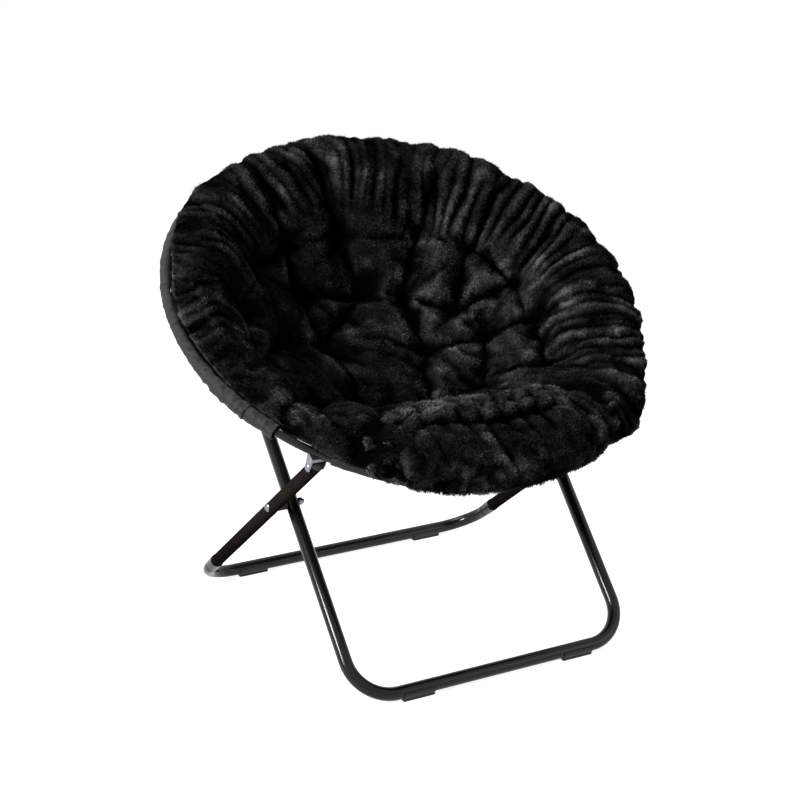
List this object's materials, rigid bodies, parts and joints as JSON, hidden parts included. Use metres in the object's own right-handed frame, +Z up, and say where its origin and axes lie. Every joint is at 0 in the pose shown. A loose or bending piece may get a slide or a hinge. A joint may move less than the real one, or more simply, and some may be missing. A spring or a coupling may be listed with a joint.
{
  "type": "folding chair",
  "caption": "Round padded saucer seat in a hinged tubular steel ring on crossed U legs, folding flat for storage.",
  "frame": {"origin": "middle of the chair in plan, on the floor", "axes": "+X to the sitter's left, which is the right in the picture, +Y to the back, +Z up; the front is -Y"},
  "size_m": [0.906, 0.7925, 0.852],
  "materials": {
    "frame": "gloss black powder coat",
    "zinc": "zinc plated",
    "plastic": "matt black",
    "pad": "matt black",
    "fur": "black plush pile",
    "lining": "plain black cloth",
    "sleeve": "smooth black cloth"
  },
  "bodies": {
    "rear_frame": {"rear_base_tube": "frame", "rear_leg_left": "frame", "rear_collar_left": "frame", "rear_leg_cap_left": "plastic", "crossing_bolt_left": "zinc", "crossing_spacer_left": "plastic", "crossing_nut_left": "zinc", "rear_foot_left": "pad", "rear_leg_right": "frame", "rear_collar_right": "frame", "rear_leg_cap_right": "plastic", "crossing_bolt_right": "zinc", "crossing_spacer_right": "plastic", "crossing_nut_right": "zinc", "rear_foot_right": "pad"},
    "front_leg": {"front_leg_frame": "frame", "front_leg_cap_left": "plastic", "front_foot_left": "pad", "front_leg_cap_right": "plastic", "front_foot_right": "pad"},
    "front_ring": {"ring_front_half": "frame", "sleeve_front": "sleeve", "sleeve_front_left": "sleeve", "sleeve_front_right": "sleeve", "lining_front": "lining", "cushion_front": "fur", "front_pad": "fur", "front_bracket_left": "zinc", "front_pivot_rivet_left": "zinc", "front_bracket_right": "zinc", "front_pivot_rivet_right": "zinc"},
    "back_ring": {"ring_back_half": "frame", "sleeve_back_left": "sleeve", "sleeve_back_right": "sleeve", "sleeve_rear": "sleeve", "lining_back": "lining", "cushion_back": "fur", "back_bracket_left": "zinc", "back_stub_outer_left": "zinc", "back_stub_inner_left": "zinc", "hinge_rivet_left": "zinc", "back_bracket_right": "zinc", "back_stub_outer_right": "zinc", "back_stub_inner_right": "zinc", "hinge_rivet_right": "zinc"}
  },
  "joints": [
    {"name": "leg_crossing", "type": "hinge", "parent": "rear_frame", "child": "front_leg", "pos_m": [0, -0.06818, 0.29201], "axis": [1, 0, 0], "range_deg": [0, 74.53]},
    {"name": "front_pivot", "type": "hinge", "parent": "rear_frame", "child": "front_ring", "pos_m": [0, -0.24904, 0.42293], "axis": [1, 0, 0], "range_deg": [-66.97, 0]},
    {"name": "seat_fold", "type": "hinge", "parent": "front_ring", "child": "back_ring", "pos_m": [0, -0.13596, 0.52375], "axis": [1, 0, 0], "range_deg": [0, 165], "deforming": ["cushion_back", "cushion_front", "front_pad", "lining_back", "lining_front"]}
  ],
  "couplings": [
    {"joint": "leg_crossing", "follows": "seat_fold", "ratio": 0.4516},
    {"joint": "front_pivot", "follows": "seat_fold", "ratio": -0.40578}
  ]
}
